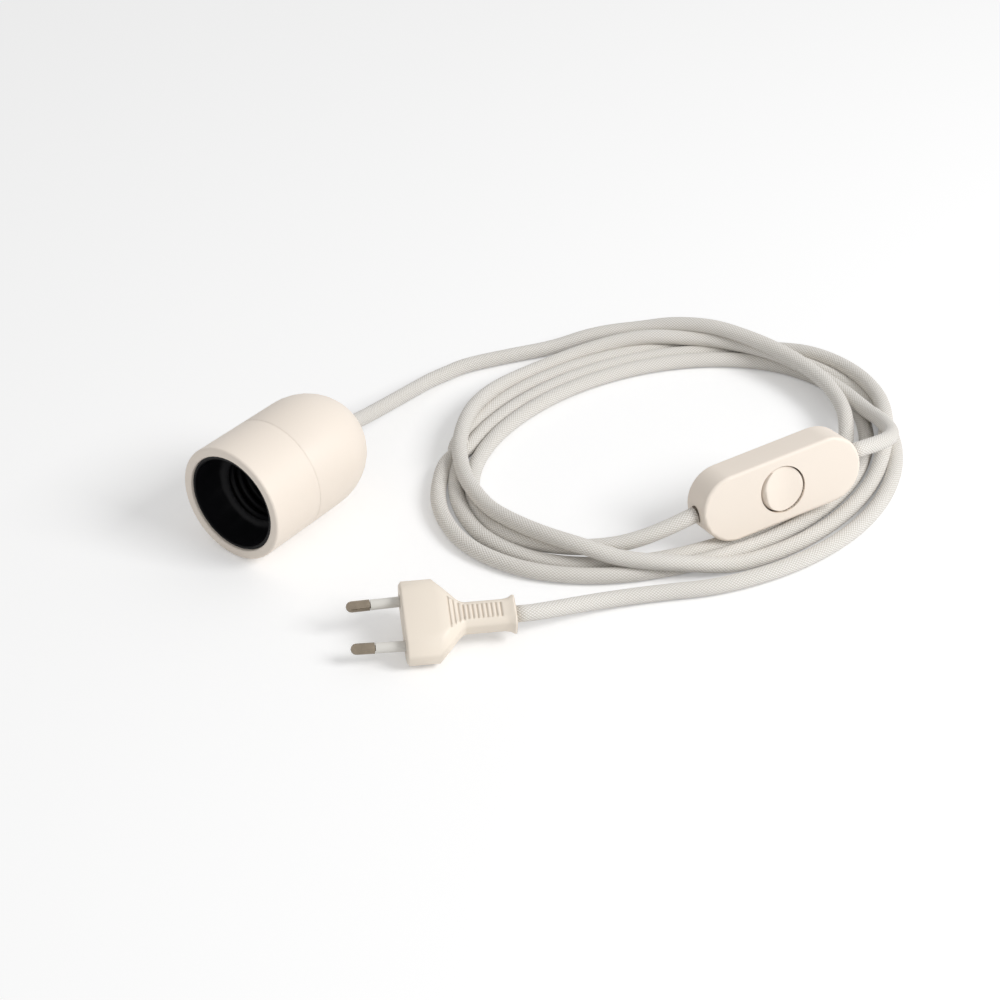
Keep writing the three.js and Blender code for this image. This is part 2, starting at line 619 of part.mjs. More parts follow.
// The plug's stations: distance from the front, then half its width, thickness, flat and edge
function plugStations() {
  const full = [PLUG_HALF_WIDTH, PLUG_HALF_THICKNESS, PLUG_HALF_FLAT, PLUG_HALF_EDGE];
  const neck = [NECK_HALF_WIDTH, NECK_HALF_THICKNESS, NECK_HALF_FLAT, NECK_HALF_EDGE];
  const narrowed = (share) => full.map((size, i) => THREE.MathUtils.lerp(size, neck[i], share));
  const shoulderAt = (share) => PLUG_PRISM_LENGTH + SHOULDER_LENGTH * share;
  const flared = (share) => neck.map((size) => size * THREE.MathUtils.lerp(1, COLLAR_FLARE, share));
  return [
    [0, full.map((size) => size - PLUG_EDGE)],
    [PLUG_EDGE, full],
    [PLUG_PRISM_LENGTH, full],
    ...SHOULDER_STEPS.map(([along, share]) => [shoulderAt(along), narrowed(share)]),
    [shoulderAt(1), neck],
    [neckEnd, neck],
    [neckEnd + COLLAR_LENGTH / 2, flared(COLLAR_HOLLOW)],
    [PLUG_LENGTH - COLLAR_RIM, flared(1)],
    [PLUG_LENGTH, flared(1)],
  ];
}

// The plug's sizes at any distance from its front
function plugSizes(stations, x) {
  const after = stations.findIndex(([at]) => at >= x);
  const [[x0, before], [x1, beyond]] = stations.slice(after - 1, after + 1);
  return before.map((size, i) => THREE.MathUtils.lerp(size, beyond[i], (x - x0) / (x1 - x0)));
}

// Finger grooves across both broad faces, which stop short of the sides
function gripGrooves(stations) {
  return Array.from({ length: GROOVE_COUNT }, (_, i) => GROOVE_FROM + i * GROOVE_PITCH).flatMap((x) => {
    const [, halfThickness, halfFlat] = plugSizes(stations, x);
    const [floor, half] = [halfThickness - GROOVE_DEPTH, halfFlat * GROOVE_SPAN];
    const side = [x - GROOVE_WIDTH / 2, x + GROOVE_WIDTH / 2, -half, half];
    return [block(...side, floor, PLUG_HALF_THICKNESS), block(...side, -PLUG_HALF_THICKNESS, -floor)];
  });
}

function plugBody() {
  const stations = plugStations();
  const sections = stations.map(([x, sizes]) => plugSection(x, ...sizes));
  const socket = () => rod(SLEEVE_RADIUS + GAP, -PIN_LENGTH, PIN_ROOT_LENGTH + GAP);
  return cut(loft(sections), ...gripGrooves(stations), toPin(socket(), -1), toPin(socket(), 1));
}

// Puts a piece turned about Z on the axis of one pin, which points forward and slightly inward
function toPin(geometry, side) {
  return geometry.rotateY(Math.PI / 2).rotateZ(side * pinToe).translate(0, side * PIN_SPACING_BASE / 2, 0);
}

function plugPin(side) {
  const core = SLEEVE_RADIUS - SLEEVE_WALL - GAP;
  const bare = -SLEEVE_LENGTH - GAP;
  const tip = Array.from({ length: PIN_TIP_STEPS + 1 }, (_, i) => {
    const angle = Math.PI / 2 * i / PIN_TIP_STEPS;
    return [PIN_RADIUS * Math.sin(angle), PIN_TIP_LENGTH * (1 - Math.cos(angle)) - PIN_LENGTH];
  });
  return toPin(turned([
    ...tip, [PIN_RADIUS, bare], [core, bare], [core, PIN_ROOT_LENGTH], [0, PIN_ROOT_LENGTH],
  ]), side);
}

const pinSleeve = (side) => toPin(
  tube(SLEEVE_RADIUS - SLEEVE_WALL, SLEEVE_RADIUS, -SLEEVE_LENGTH, PIN_ROOT_LENGTH), side);

function buildPlug() {
  const group = new THREE.Group();
  group.rotation.set(degrees(PLUG_ROLL), 0, degrees(PLUG_YAW), 'ZYX');
  group.add(piece('plug_body', plugBody(), cream));
  for (const [side, word] of [[1, 'far'], [-1, 'near']]) {
    group.add(piece(`plug_pin_${word}`, plugPin(side), nickel));
    group.add(piece(`pin_sleeve_${word}`, pinSleeve(side), sleeveWhite));
  }
  const lowest = new THREE.Box3().setFromObject(group, true).min.z;
  group.position.set(...PLUG_FRONT, -lowest);
  return group;
}

// Cord

// A plain tube along a list of points; it starts and ends with flat faces
function cordTube(points) {
  const section = new THREE.Shape(Array.from({ length: CORD_SIDES }, (_, i) => {
    const angle = 2 * Math.PI * (i + 0.5) / CORD_SIDES;
    return new THREE.Vector2(Math.cos(angle), Math.sin(angle)).multiplyScalar(CORD_DIAMETER / 2);
  }));
  const route = new THREE.CatmullRomCurve3(points, false, 'centripetal');
  const steps = Math.max(2, Math.round(route.getLength() / CORD_STEP));
  return new THREE.ExtrudeGeometry(section, { steps, extrudePath: route, bevelEnabled: false });
}

// The point that lies a given way along a group's own axes
const placed = (group, x, y, z) => group.localToWorld(new THREE.Vector3(x, y, z));
const vectors = (list) => list.map((point) => new THREE.Vector3(...point));

// The outer shape of the loose coil, with a pocket where the switch leans into it
function coilRing(switchGroup) {
  const [inner, outer, top, soft] = [COIL_INNER_RADIUS, COIL_OUTER_RADIUS, COIL_HEIGHT, COIL_ROUNDING];
  const ring = turned([
    [inner + soft, 0], [outer - soft, 0], [outer, soft], [outer, top - soft],
    [outer - soft, top], [inner + soft, top], [inner, top - soft], [inner, soft],
  ], FINE_SIDES).translate(...COIL_CENTRE, 0);
  const pocket = stadium(SWITCH_LENGTH + 2 * SWITCH_POCKET, SWITCH_WIDTH + 2 * SWITCH_POCKET,
    -switchHalf - SWITCH_POCKET, switchHalf + SWITCH_POCKET).applyMatrix4(switchGroup.matrixWorld);
  return cut(ring, pocket);
}

const holder = buildHolder();
const inlineSwitch = buildSwitch();
const plug = buildPlug();
const lampCordSet = new THREE.Group();
lampCordSet.add(holder, inlineSwitch, plug);
lampCordSet.updateMatrixWorld(true);

const bushEnd = HOLDER_LENGTH + BUSH_FLANGE_HEIGHT + 2 * GAP;
const switchEnd = SWITCH_LENGTH / 2 + GAP;
const leadOut = 2;                  // a short straight stretch out of each exit

lampCordSet.add(
  piece('cord_holder_tail', cordTube([
    placed(holder, 0, 0, bushEnd), placed(holder, 0, 0, bushEnd + leadOut), ...vectors(HOLDER_TAIL),
  ]), textile),
  piece('cord_plug_tail', cordTube([
    placed(plug, PLUG_LENGTH + GAP, 0, 0), placed(plug, PLUG_LENGTH + GAP + leadOut, 0, 0),
    ...vectors(PLUG_TAIL),
  ]), textile),
  piece('cord_switch_left', cordTube([
    placed(inlineSwitch, -switchEnd, 0, 0), ...vectors(SWITCH_LEFT_TAIL),
  ]), textile),
  piece('cord_switch_right', cordTube([
    placed(inlineSwitch, switchEnd, 0, 0), placed(inlineSwitch, switchEnd + leadOut, 0, 0),
    ...vectors(SWITCH_RIGHT_TAIL),
  ]), textile),
  piece('cord_coil', coilRing(inlineSwitch), textile),
);

export default lampCordSet;
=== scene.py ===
import json
import math

import bmesh
import bpy
import numpy as np
from mathutils import Matrix, Vector


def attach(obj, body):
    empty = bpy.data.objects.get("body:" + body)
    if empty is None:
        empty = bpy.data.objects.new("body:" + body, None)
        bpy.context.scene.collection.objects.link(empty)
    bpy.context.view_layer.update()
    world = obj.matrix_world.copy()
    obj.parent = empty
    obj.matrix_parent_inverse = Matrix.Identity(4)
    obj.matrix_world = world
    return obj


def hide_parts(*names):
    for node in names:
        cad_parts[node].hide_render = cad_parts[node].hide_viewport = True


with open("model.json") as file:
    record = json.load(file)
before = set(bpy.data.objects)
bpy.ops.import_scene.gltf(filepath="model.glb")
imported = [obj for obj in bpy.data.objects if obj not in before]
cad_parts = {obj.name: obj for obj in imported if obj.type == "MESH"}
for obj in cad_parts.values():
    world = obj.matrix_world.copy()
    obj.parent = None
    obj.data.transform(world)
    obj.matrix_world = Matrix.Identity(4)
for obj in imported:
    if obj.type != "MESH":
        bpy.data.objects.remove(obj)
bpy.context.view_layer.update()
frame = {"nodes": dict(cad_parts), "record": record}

MM = 0.001

# Camera: the photograph's viewing angle
VIEW_TURN = math.radians(36.74)
VIEW_TILT = math.radians(55.2)
CAMERA_PLACE = (0.50493, -0.54618, 0.5203)
LENS = 86.4
SENSOR_WIDTH = 36
FARTHEST_SEEN = 20
camera_data = bpy.data.cameras.new("camera")
camera_data.sensor_width = SENSOR_WIDTH
camera_data.lens = LENS
camera_data.clip_end = FARTHEST_SEEN
camera = bpy.data.objects.new("camera", camera_data)
camera.location = CAMERA_PLACE
camera.rotation_euler = (VIEW_TILT, 0, VIEW_TURN)
bpy.context.scene.collection.objects.link(camera)
bpy.context.scene.camera = camera

# Cords, in millimetres: where each one leaves or enters a piece, and its free stretch from there
CORD_DIAMETER = 6.0
BUSH_EXIT = (0, 33.659, 22.225)
SWITCH_LEFT_EXIT = (133.449, 70.376, 15.953)
SWITCH_RIGHT_EXIT = (164.551, 128.624, 24.647)
PLUG_EXIT = (111.641, -9.956, 9.705)
HOLDER_TAIL = [
    (0, 35.659, 22.211), (-4.2, 44.5, 17), (-6.3, 55.1, 14), (-8.7, 66.2, 11),
    (-11.5, 82.2, 7), (-13, 99.9, 4.1), (-11.5, 110, 3.4), (-9.5, 119, 3.3),
]
SWITCH_RIGHT_TAIL = [
    (168.7, 160.3, 17), (170.3, 152.3, 20.2), (169.5, 143.3, 23), (167.1, 135.2, 25), (165.5, 130.4, 24.9),
]
SWITCH_LEFT_TAIL = [(131.5, 66.2, 15.2), (129.6, 62.8, 14.2)]
PLUG_TAIL = [(122.4, 15.6, 4.2), (120.6, 6.4, 6.4), (117.5, -3.7, 9.2), (113.1, -8.5, 9.7)]

# The loose coil: an oval that each cord walks clockwise. Where a cord crosses one of the oval's
# four sides, the list has its reach from the centre and the number of strands under it. These are
# whole numbers, adjusted against the photograph.
COIL_CENTRE = (93, 113.9)
OVAL_TURN = -15         # degrees
QUARTER = 90
POINT_EVERY = 15        # degrees
LAYER_HEIGHT = 5.5
SWITCH_CORD_SIDES = [   # back, right, front, left, and round again
    (78, 2), (59, 0), (88, 0), (72, 0), (93, 0), (74, 1), (82, 1), (78, 1), (82, 1),
]
SWITCH_CORD_SPAN = (-208, -1028)    # degrees, where the turns begin and end
SWITCH_CORD_FIRST_SIDE = OVAL_TURN - 3 * QUARTER
PLUG_CORD_SIDES = [     # front, left, back, right, and round again
    (86, 0), (61, 0), (88, 0), (66, 0), (97, 0), (66, 0), (92, 0), (83, 0),
]
PLUG_CORD_SPAN = (-62, -780)
PLUG_CORD_FIRST_SIDE = OVAL_TURN - QUARTER
# The sides just before and after those, towards which a cord comes and goes
SWITCH_CORD_BEFORE = (90, 2)
SWITCH_CORD_AFTER = (84, 2)
PLUG_CORD_BEFORE = (60, 2)
PLUG_CORD_AFTER = (100, 0)
POINT_STEP = 2.5

# How the strands settle, round by round. A share is the part of an overlap that one round takes away.
SETTLE_ROUNDS = 300
PAIR_REACH = 1.8 * CORD_DIAMETER    # two points nearer than this are a pair
SAME_STRETCH = 8                    # points of one cord this near in its order are no pair
CLEARLY_ABOVE = 0.8                 # a height difference that makes one of a pair the upper one
MEANT_ABOVE = 0.6                   # the same in the heights that the sides give, which comes first
LIFT_LIMIT = 4
RISE_SHARE = 0.3
SINK_SHARE = 0.1
SIDEWAYS_SHARE = 0.12
CROSSING_SHARE = 0.2                # how much of that is left where one cord lies over another
SIDEWAYS_LIMIT = 0.15
RISE_LIMIT = 0.8
SINK_LIMIT = 0.3
WEIGHT = 0.05                       # what each round lets a point sink
SOFTEN_EVERY = 3                    # rounds
SOFTEN_REACH = 4                    # points
SOFTEN_SHARE = 0.25
TINY = 1e-6

# Lengths that stay as they are beside each exit, and the ramps that follow them
HELD_AT_HOLDER = 92
HELD_AT_SWITCH_RIGHT = 34
HELD_AT_SWITCH_LEFT = 12
HELD_AT_PLUG = 30
FREE_RAMP = 20
EXIT_RAMP = 12
NEAR_AN_END = 50
END_EASING = (4, 3, 2)              # reach in points, one pass each
COIL_EASING = 2                     # reach in points
COIL_EASING_SHARE = (0.6, 0.6, 1)


def coil_turns(sides, first_side, span):
    """Places round the coil: in each quarter the strand follows an oval from one side to the next."""
    places = []
    for quarter, ((reach, layer), (next_reach, next_layer)) in enumerate(zip(sides, sides[1:])):
        for turned in range(0, QUARTER, POINT_EVERY):
            angle = first_side - QUARTER * (quarter - 1) - turned
            if not span[1] <= angle <= span[0]:
                continue
            cos, sin = math.cos(math.radians(turned)), math.sin(math.radians(turned))
            radius = 1 / math.hypot(cos / reach, sin / next_reach)
            height = CORD_DIAMETER / 2 + LAYER_HEIGHT * (layer + (next_layer - layer) * sin ** 2)
            x = COIL_CENTRE[0] + radius * math.cos(math.radians(angle))
            y = COIL_CENTRE[1] + radius * math.sin(math.radians(angle))
            places.append((x, y, height))
    return places


def distance_along(line):
    return np.concatenate(([0], np.cumsum(np.linalg.norm(np.diff(line, axis=0), axis=1))))


def smooth_line(knots):
    """A smooth curve through the knots, as points one even step apart."""
    knots = np.array(knots, float)
    gaps = np.linalg.norm(np.diff(knots, axis=0), axis=1)
    times = np.concatenate(([0], np.cumsum(np.sqrt(gaps))))
    slopes = np.gradient(knots, times, axis=0)
    pieces = []
    for i, gap in enumerate(gaps):
        t = np.linspace(0, 1, max(2, round(gap / POINT_STEP)), endpoint=False)[:, None]
        third = (times[i + 1] - times[i]) / 3
        out = knots[i] + slopes[i] * third
        back = knots[i + 1] - slopes[i + 1] * third
        pieces.append(
            (1 - t) ** 3 * knots[i] + 3 * (1 - t) ** 2 * t * out
            + 3 * (1 - t) * t ** 2 * back + t ** 3 * knots[i + 1]
        )
    line = np.concatenate(pieces + [knots[-1:]])
    run = distance_along(line)
    even = np.linspace(0, run[-1], round(run[-1] / POINT_STEP) + 1)
    return np.column_stack([np.interp(even, run, line[:, axis]) for axis in range(3)])


def blurred(values, reach):
    """The values averaged along the line with a bell-shaped weight."""
    span = 3 * reach
    weight = np.exp(-0.5 * (np.arange(-span, span + 1) / reach) ** 2)
    weight /= weight.sum()
    padded = np.pad(values, ((span, span), (0, 0)), mode="edge")
    return np.column_stack([np.convolve(column, weight, mode="valid") for column in padded.T])


def freedom(line, start, end, ramp):
    """How free each point is: 0 near the two held ends, 1 away from them."""
    run = distance_along(line)
    leaving = np.clip((run - start) / ramp, 0, 1)
    arriving = np.clip((run[-1] - end - run) / ramp, 0, 1)
    return (leaving * arriving)[:, None]


def settle(lines, free):
    """Lets the strands sink onto the floor and onto each other, and pushes them apart where they touch."""
    counts = [len(line) for line in lines]
    cord = np.repeat(np.arange(len(lines)), counts)
    index = np.concatenate([np.arange(n) for n in counts])
    breaks = np.cumsum(counts)[:-1]
    start = np.concatenate(lines)
    free = np.concatenate(free)
    across = np.linalg.norm(start[:, None, :2] - start[None, :, :2], axis=2)
    close = np.triu(across < PAIR_REACH, 1)
    close &= (cord[:, None] != cord) | (abs(index[:, None] - index) > SAME_STRETCH)
    a, b = np.nonzero(close)
    planned = start[b, 2] - start[a, 2]
    place = start.copy()
    for turn in range(SETTLE_ROUNDS):
        gap = place[b] - place[a]
        across = np.hypot(gap[:, 0], gap[:, 1])
        above = np.where(abs(gap[:, 2]) > CLEARLY_ABOVE, np.sign(gap[:, 2]), 0)
        above = np.where(abs(planned) > MEANT_ABOVE, np.sign(planned), above)
        clear = np.sqrt(np.maximum(CORD_DIAMETER ** 2 - across ** 2, 0))
        lift = np.where(above != 0, np.clip(clear - above * gap[:, 2], 0, LIFT_LIMIT), 0)
        rise = np.zeros(len(place))
        fall = np.zeros(len(place))
        np.maximum.at(rise, np.where(above > 0, b, a), RISE_SHARE * lift)
        np.maximum.at(fall, np.where(above > 0, a, b), SINK_SHARE * lift)
        beside = CORD_DIAMETER - across
        partly = CROSSING_SHARE * (CORD_DIAMETER - np.linalg.norm(gap, axis=1))
        apart = SIDEWAYS_SHARE * np.clip(np.where(above == 0, beside, partly), 0, 1)
        sideways = gap[:, :2] / np.maximum(across, TINY)[:, None] * apart[:, None]
        push = np.zeros_like(place)
        np.add.at(push[:, :2], b, sideways)
        np.add.at(push[:, :2], a, -sideways)
        push[:, :2] = np.clip(push[:, :2], -SIDEWAYS_LIMIT, SIDEWAYS_LIMIT)
        push[:, 2] += np.clip(rise, 0, RISE_LIMIT) - np.clip(fall, 0, SINK_LIMIT) - WEIGHT
        if turn % SOFTEN_EVERY == 0:
            moved = place - start * (1, 1, 0)
            soft = np.concatenate([blurred(part, SOFTEN_REACH) for part in np.split(moved, breaks)])
            push += SOFTEN_SHARE * (soft - moved)
        place = place + free * push
        place[:, 2] = np.maximum(place[:, 2], CORD_DIAMETER / 2)
    return np.split(place, breaks)


def relaxed(line):
    """Eases the bends: most beside the two ends, a little elsewhere."""
    held = freedom(line, 0, 0, EXIT_RAMP)
    near_ends = 1 - freedom(line, NEAR_AN_END, NEAR_AN_END, FREE_RAMP)
    for reach in END_EASING:
        line = line + held * near_ends * (blurred(line, reach) - line)
    coil_easing = held * (1 - near_ends) * (blurred(line, COIL_EASING) - line)
    line = line + coil_easing * COIL_EASING_SHARE
    line[:, 2] = np.maximum(line[:, 2], CORD_DIAMETER / 2)
    return [Vector(point) * MM for point in line]


def cord_lines():
    switch_turns = coil_turns(
        [SWITCH_CORD_BEFORE] + SWITCH_CORD_SIDES + [SWITCH_CORD_AFTER],
        SWITCH_CORD_FIRST_SIDE, SWITCH_CORD_SPAN,
    )
    plug_turns = coil_turns(
        [PLUG_CORD_BEFORE] + PLUG_CORD_SIDES + [PLUG_CORD_AFTER], PLUG_CORD_FIRST_SIDE, PLUG_CORD_SPAN,
    )
    switch_side = smooth_line(
        [BUSH_EXIT] + HOLDER_TAIL + switch_turns + SWITCH_RIGHT_TAIL + [SWITCH_RIGHT_EXIT]
    )
    plug_side = smooth_line(
        [SWITCH_LEFT_EXIT] + SWITCH_LEFT_TAIL + plug_turns + PLUG_TAIL + [PLUG_EXIT]
    )
    free = [
        freedom(switch_side, HELD_AT_HOLDER, HELD_AT_SWITCH_RIGHT, FREE_RAMP),
        freedom(plug_side, HELD_AT_SWITCH_LEFT, HELD_AT_PLUG, FREE_RAMP),
    ]
    return [relaxed(line) for line in settle([switch_side, plug_side], free)]


def new_object(name, vertices, faces, uvs=None, smooth=True):
    mesh = bpy.data.meshes.new(name)
    mesh.from_pydata([tuple(v) for v in vertices], [], faces)
    if uvs:
        layer = mesh.uv_layers.new(name="UVMap")
        for loop, uv in zip(layer.data, uvs):
            loop.uv = uv
    if smooth:
        mesh.shade_smooth()
    mesh.update()
    obj = bpy.data.objects.new(name, mesh)
    bpy.context.scene.collection.objects.link(obj)
    return obj


def cord_tube(name, line, radius, sides=24):
    """A round tube along a line. Its UV map holds metres along the cord and turns round it."""
    vertices, faces, uvs = [], [], []
    travelled = 0
    tangent = (line[1] - line[0]).normalized()
    normal = tangent.orthogonal().normalized()
    along = []
    for i, point in enumerate(line):
        if i:
            travelled += (point - line[i - 1]).length
        ahead = line[min(i + 1, len(line) - 1)] - line[max(i - 1, 0)]
        new_tangent = ahead.normalized()
        normal = tangent.rotation_difference(new_tangent) @ normal
        tangent = new_tangent
        normal = (normal - tangent * normal.dot(tangent)).normalized()
        side = tangent.cross(normal)
        along.append(travelled)
        for k in range(sides):
            angle = 2 * math.pi * k / sides
            vertices.append(point + radius * (math.cos(angle) * normal + math.sin(angle) * side))
    for i in range(len(line) - 1):
        for k in range(sides):
            n = (k + 1) % sides
            a, b = i * sides, (i + 1) * sides
            faces.append((a + k, a + n, b + n, b + k))
            low, high = k / sides, (k + 1) / sides
            uvs += [(along[i], low), (along[i], high), (along[i + 1], high), (along[i + 1], low)]
    last = (len(line) - 1) * sides
    faces.append(tuple(reversed(range(sides))))
    faces.append(tuple(last + k for k in range(sides)))
    uvs += [(0, k / sides) for k in reversed(range(sides))]
    uvs += [(along[-1], k / sides) for k in range(sides)]
    return new_object(name, vertices, faces, uvs)


class Nodes:
    """A short way to write a procedural material."""

    def __init__(self, name):
        self.material = bpy.data.materials.new(name)
        self.material.use_nodes = True
        self.tree = self.material.node_tree
        self.shader = self.tree.nodes["Principled BSDF"]

    def add(self, kind, inputs=None, **settings):
        node = self.tree.nodes.new(kind)
        for key, value in settings.items():
            setattr(node, key, value)
        for key, value in (inputs or {}).items():
            self.feed(node.inputs[key], value)
        return node

    def feed(self, socket, value):
        if isinstance(value, bpy.types.NodeSocket):
            self.tree.links.new(value, socket)
        else:
            socket.default_value = value

    def math(self, operation, a, b=0.0, c=0.0):
        return self.add("ShaderNodeMath", {0: a, 1: b, 2: c}, operation=operation).outputs[0]

    def mix(self, factor, a, b):
        node = self.add("ShaderNodeMix", {"Factor": factor}, data_type="RGBA")
        self.feed(node.inputs[6], a)
        self.feed(node.inputs[7], b)
        return node.outputs[2]

    def spread(self, value, low, high):
        return self.add("ShaderNodeMapRange", {"Value": value, "To Min": low, "To Max": high}).outputs[0]

    def noise(self, scale, detail=3.0, roughness=0.5):
        position = self.add("ShaderNodeTexCoord").outputs["Object"]
        return self.add("ShaderNodeTexNoise", {
            "Vector": position, "Scale": scale, "Detail": detail, "Roughness": roughness,
        }).outputs["Fac"]

    def bump(self, height, strength, distance):
        bump = self.add("ShaderNodeBump", {"Height": height, "Strength": strength, "Distance": distance})
        self.feed(self.shader.inputs["Normal"], bump.outputs["Normal"])

    def set(self, **values):
        for key, value in values.items():
            self.feed(self.shader.inputs[key.replace("_", " ")], value)


# Materials: noise scales count patches in a metre, grain heights are in metres
PLASTIC_DRIFT = 38
PLASTIC_GLOSS = 160
PLASTIC_GLOSS_RANGE = 0.06
PLASTIC_GRAIN = 2600
PLASTIC_GRAIN_STRENGTH = 0.3
PLASTIC_GRAIN_HEIGHT = 0.00003
TARNISH = 420
TARNISH_DARKNESS = 0.6
METAL_GLOSS = 700
METAL_SMOOTHER = 0.05
METAL_ROUGHER = 0.16
METAL_GRAIN = 3000
METAL_GRAIN_STRENGTH = 0.2
METAL_GRAIN_HEIGHT = 0.00002


def moulded(name, colour, tint, roughness, specular=0.5):
    """Moulded plastic: a slight drift of colour, a fine eroded grain, soft gloss."""
    nodes = Nodes(name)
    nodes.set(Base_Color=nodes.mix(nodes.noise(PLASTIC_DRIFT, 3), (*colour, 1), (*tint, 1)))
    nodes.set(Roughness=nodes.spread(
        nodes.noise(PLASTIC_GLOSS, 4), roughness - PLASTIC_GLOSS_RANGE, roughness + PLASTIC_GLOSS_RANGE,
    ))
    nodes.set(Specular_IOR_Level=specular)
    nodes.bump(nodes.noise(PLASTIC_GRAIN, 2), PLASTIC_GRAIN_STRENGTH, PLASTIC_GRAIN_HEIGHT)
    return nodes.material


def metal(name, colour, roughness):
    """Plated or bare metal: patches of slight tarnish, uneven gloss, a very fine grain."""
    nodes = Nodes(name)
    tarnish = nodes.noise(TARNISH, 5, 0.62)
    darker = [c * TARNISH_DARKNESS for c in colour]
    nodes.set(Base_Color=nodes.mix(tarnish, (*colour, 1), (*darker, 1)))
    nodes.set(Metallic=1.0)
    nodes.set(Roughness=nodes.spread(
        nodes.noise(METAL_GLOSS, 5), roughness - METAL_SMOOTHER, roughness + METAL_ROUGHER,
    ))
    nodes.bump(nodes.noise(METAL_GRAIN, 3), METAL_GRAIN_STRENGTH, METAL_GRAIN_HEIGHT)
    return nodes.material


THREADS_ALONG = 1000 / 1.4   # crossings in each metre of braid
THREADS_AROUND = 17          # crossings once round the braid
THREAD_LIGHT = (0.955, 0.935, 0.905, 1)
THREAD_DARK = (0.92, 0.895, 0.85, 1)
# painted shade: the darker colour of the gaps between the threads, where shade falls
THREAD_GAP_PAINTED_SHADE = (0.52, 0.47, 0.39, 1)
THREAD_DRIFT = 60            # patches of lighter and darker thread in a metre
THREAD_FLANK = 0.4           # a thread's height where it goes under the other family
THREAD_RELIEF_STRENGTH = 0.8
THREAD_RELIEF = 0.00025


def braided(name):
    """A braided sleeve: two families of threads that pass over and under each other, with painted shade in
    the gaps between them.
    """
    nodes = Nodes(name)

    def rise(ridge):
        return nodes.math("MULTIPLY_ADD", ridge, 1 - THREAD_FLANK, THREAD_FLANK)

    uv = nodes.add("ShaderNodeSeparateXYZ", {0: nodes.add("ShaderNodeUVMap", uv_map="UVMap").outputs[0]})
    along = nodes.math("MULTIPLY", uv.outputs[0], THREADS_ALONG)
    around = nodes.math("MULTIPLY", uv.outputs[1], THREADS_AROUND)
    first = nodes.math("ADD", along, around)
    second = nodes.math("SUBTRACT", along, around)
    ridge_a = nodes.math("SINE", nodes.math("MULTIPLY", nodes.math("FRACT", first), math.pi))
    ridge_b = nodes.math("SINE", nodes.math("MULTIPLY", nodes.math("FRACT", second), math.pi))
    cells = nodes.math("ADD", nodes.math("FLOOR", first), nodes.math("FLOOR", second))
    over = nodes.math("ABSOLUTE", nodes.math("MODULO", cells, 2.0))
    top_a = nodes.math("MULTIPLY", ridge_a, rise(ridge_b))
    top_b = nodes.math("MULTIPLY", ridge_b, rise(ridge_a))
    height = nodes.add("ShaderNodeMix", {"Factor": over}, data_type="FLOAT")
    nodes.feed(height.inputs[2], top_a)
    nodes.feed(height.inputs[3], top_b)
    relief = height.outputs[0]
    thread = nodes.mix(nodes.noise(THREAD_DRIFT, 3), THREAD_LIGHT, THREAD_DARK)
    # Painted shade: the lower the relief, the more the thread colour gives way to the darker gap colour
    free_of_painted_gap_shade = nodes.math("POWER", relief, 0.5)
    nodes.set(Base_Color=nodes.mix(free_of_painted_gap_shade, THREAD_GAP_PAINTED_SHADE, thread), Roughness=0.8)
    nodes.set(Sheen_Weight=0.25, Sheen_Roughness=0.5)
    nodes.bump(relief, THREAD_RELIEF_STRENGTH, THREAD_RELIEF)
    return nodes.material


cream = moulded("cream_plastic", (0.93, 0.84, 0.745), (0.915, 0.82, 0.72), 0.5)
plug_cream = moulded("plug_plastic", (0.92, 0.83, 0.72), (0.89, 0.80, 0.685), 0.46)
# The liner is black plastic, and its colour is darker still: painted shade for the inside of the holder's
# mouth
black = moulded("black_plastic", (0.003, 0.003, 0.004), (0.005, 0.005, 0.006), 0.4, specular=0.15)
sleeve = moulded("sleeve_plastic", (0.80, 0.78, 0.735), (0.72, 0.70, 0.655), 0.3)
brass = metal("brass_metal", (0.72, 0.53, 0.27), 0.3)
# Painted reflection: the nickel is coloured darker than the metal's own colour, standing in for dark
# surroundings reflected in the pins
nickel = metal("nickel_metal", (0.34, 0.285, 0.22), 0.14)
braid = braided("braided_textile")

SLOT_MATERIALS = {
    "cream_shell": cream, "plug_moulding": plug_cream, "black_moulding": black,
    "brass_contact": brass, "nickel_metal": nickel, "sleeve_white": sleeve, "textile_cord": braid,
}
BODIES = frame["record"]["behaviour"]["bodies"]
BODY_OF = {node: body for body, nodes in BODIES.items() for node in nodes}
SHARP_EDGE = math.radians(38)
SAME_CORNER = 1e-6      # metres


def smooth_finish(node_name, slot):
    """A copy of a node's shell whose rounded stretches are shaded as one smooth surface."""
    source = frame["nodes"][node_name].data
    shell = bmesh.new()
    shell.from_mesh(source)
    bmesh.ops.remove_doubles(shell, verts=shell.verts, dist=SAME_CORNER)
    mesh = bpy.data.meshes.new(node_name + "_surface")
    shell.to_mesh(mesh)
    shell.free()
    mesh.materials.clear()
    mesh.materials.append(SLOT_MATERIALS[slot])
    mesh.shade_smooth()
    mesh.set_sharp_from_angle(angle=SHARP_EDGE)
    obj = bpy.data.objects.new(node_name + "_surface", mesh)
    bpy.context.scene.collection.objects.link(obj)
    flat_faces = obj.modifiers.new("flat_faces_stay_flat", "WEIGHTED_NORMAL")
    flat_faces.keep_sharp = True
    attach(obj, BODY_OF[node_name])
    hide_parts(node_name)
    return obj


for part in frame["record"]["subparts"]:
    if part["material_slot"] == "textile_cord":
        frame["nodes"][part["node"]].data.materials.append(braid)
    else:
        smooth_finish(part["node"], part["material_slot"])

# Cords
switch_line, plug_line = cord_lines()
switch_cord = cord_tube("cord_holder_to_switch", switch_line, CORD_DIAMETER / 2 * MM)
plug_cord = cord_tube("cord_switch_to_plug", plug_line, CORD_DIAMETER / 2 * MM)
for cord in (switch_cord, plug_cord):
    cord.data.materials.append(braid)
    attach(cord, "set")
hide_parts("cord_holder_tail", "cord_switch_right", "cord_coil")
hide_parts("cord_plug_tail", "cord_switch_left")

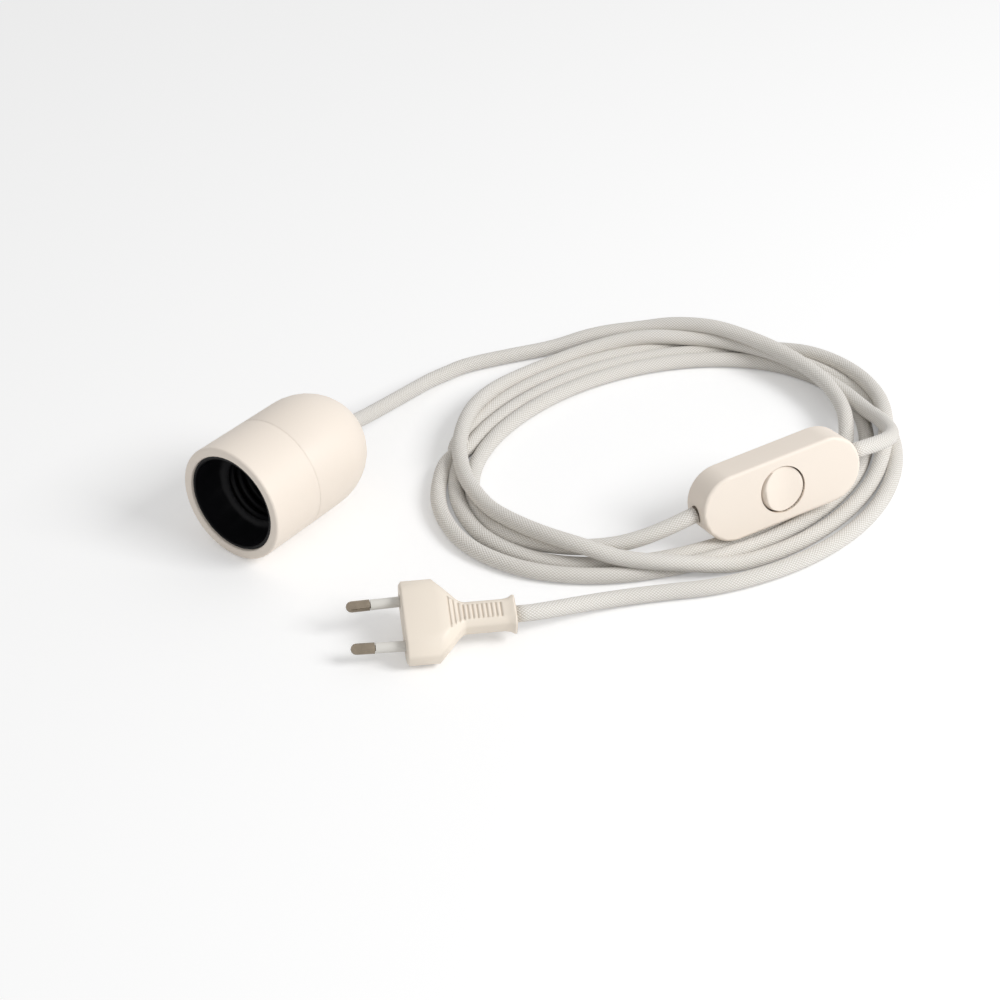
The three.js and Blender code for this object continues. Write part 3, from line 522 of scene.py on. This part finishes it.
# Floor and light
def seen_rays(tree):
    """1 on rays from the camera, a reflection or a clear material, 0 on all others."""
    path = tree.nodes.new("ShaderNodeLightPath")
    seen = path.outputs["Is Camera Ray"]
    for kind in ("Is Glossy Ray", "Is Transmission Ray"):
        larger = tree.nodes.new("ShaderNodeMath")
        larger.operation = "MAXIMUM"
        tree.links.new(seen, larger.inputs[0])
        tree.links.new(path.outputs[kind], larger.inputs[1])
        seen = larger.outputs[0]
    return seen


FLOOR_HALF = 6
FLOOR_DROP = 0.0002
FLOOR_GLOW = 0.24       # what the seen rays get on top, other rays get none of it
FLOOR_COLOUR = (0.86, 0.86, 0.86, 1)
floor = new_object("floor", [
    (-FLOOR_HALF, -FLOOR_HALF, 0), (FLOOR_HALF, -FLOOR_HALF, 0),
    (FLOOR_HALF, FLOOR_HALF, 0), (-FLOOR_HALF, FLOOR_HALF, 0),
], [(0, 1, 2, 3)], smooth=False)
floor.location.z = -FLOOR_DROP
surface = Nodes("floor_white")
surface.tree.nodes.remove(surface.shader)
glow = surface.add("ShaderNodeEmission", {
    "Color": (1, 1, 1, 1), "Strength": surface.math("MULTIPLY", seen_rays(surface.tree), FLOOR_GLOW),
})
matte = surface.add("ShaderNodeBsdfDiffuse", {"Color": FLOOR_COLOUR})
total = surface.add("ShaderNodeAddShader", {0: glow.outputs[0], 1: matte.outputs[0]})
surface.tree.links.new(total.outputs[0], surface.tree.nodes["Material Output"].inputs["Surface"])
floor.data.materials.append(surface.material)

WORLD_LIGHT = 0.5
WORLD_SHOWN = 1.0       # the white that the seen rays meet
world = bpy.data.worlds.new("world")
bpy.context.scene.world = world
world.use_nodes = True
tree = world.node_tree
background = tree.nodes["Background"]
strength = tree.nodes.new("ShaderNodeMapRange")
tree.links.new(seen_rays(tree), strength.inputs["Value"])
strength.inputs["To Min"].default_value = WORLD_LIGHT
strength.inputs["To Max"].default_value = WORLD_SHOWN
tree.links.new(strength.outputs[0], background.inputs["Strength"])
background.inputs["Color"].default_value = (1, 1, 1, 1)

TURN = Matrix.Rotation(VIEW_TURN, 3, "Z")
TARGET = Vector((0.08, 0.09, 0.0))
KEY_DIRECTION = (0.75, -0.35, 0.7)
KEY_DISTANCE = 1.6
KEY_SIZE = 0.7
KEY_POWER = 15.5


def lamp(name, direction, distance, size, energy):
    """An area lamp that looks at the object. Its direction is given as right, away and up in the view."""
    data = bpy.data.lights.new(name, "AREA")
    data.size = size
    data.energy = energy
    obj = bpy.data.objects.new(name, data)
    towards = (TURN @ Vector(direction)).normalized()
    obj.location = TARGET + towards * distance
    obj.rotation_euler = towards.to_track_quat("Z", "Y").to_euler()
    bpy.context.scene.collection.objects.link(obj)


lamp("key", KEY_DIRECTION, KEY_DISTANCE, KEY_SIZE, KEY_POWER)

bpy.context.scene.view_settings.view_transform = "Standard"
